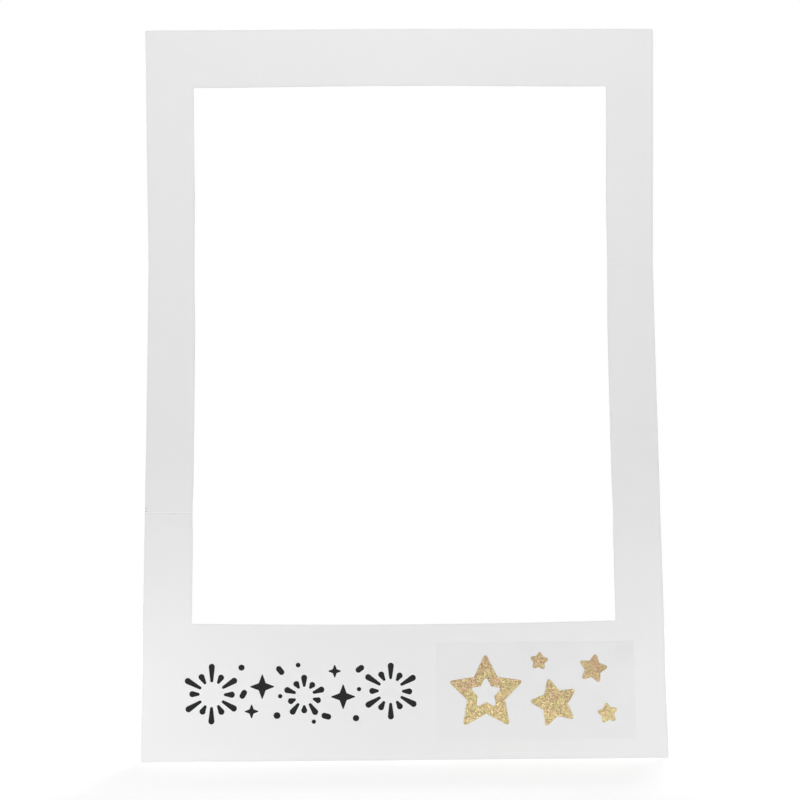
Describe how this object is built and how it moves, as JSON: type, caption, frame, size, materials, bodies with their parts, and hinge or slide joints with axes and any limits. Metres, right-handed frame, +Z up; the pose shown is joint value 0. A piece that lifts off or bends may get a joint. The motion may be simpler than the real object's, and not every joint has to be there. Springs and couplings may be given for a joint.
{
  "type": "photo booth frame",
  "caption": "Large hand-held white card picture frame with a deep bottom strip and a clear glitter sticker, creased to fold in three.",
  "frame": {"origin": "middle of the back face of the bottom strip, where a hand or a pad holds it", "axes": "+Z up the frame from the bottom strip to the top bar, printed front towards -Y, +X to the right seen from the front"},
  "size_m": [0.5, 0.0474, 0.7063],
  "materials": {
    "card": "smooth white coated board, matt",
    "scored_card": "white board pressed into a bead and a channel",
    "clear_film": "thin clear satin film",
    "gold_glitter": "pale gold glitter"
  },
  "bodies": {
    "bottom": {"bottom_panel": "card", "lower_left_crease": "scored_card", "lower_right_crease": "scored_card", "sticker_film": "clear_film", "large_glitter_star": "gold_glitter", "medium_glitter_star": "gold_glitter", "small_glitter_star_top": "gold_glitter", "small_glitter_star_low": "gold_glitter", "small_glitter_star_left": "gold_glitter"},
    "middle": {"left_side_bar": "card", "right_side_bar": "card", "upper_left_crease": "scored_card", "upper_right_crease": "scored_card"},
    "top": {"top_panel": "card"}
  },
  "joints": [
    {"name": "lower_fold", "type": "hinge", "parent": "bottom", "child": "middle", "pos_m": [0, -0.0012, 0.171], "axis": [1, 0, 0], "range_deg": [-1, 170]},
    {"name": "upper_fold", "type": "hinge", "parent": "middle", "child": "top", "pos_m": [0, -0.00546, 0.41496], "axis": [1, 0, 0], "range_deg": [-9.5, 170.5]}
  ]
}
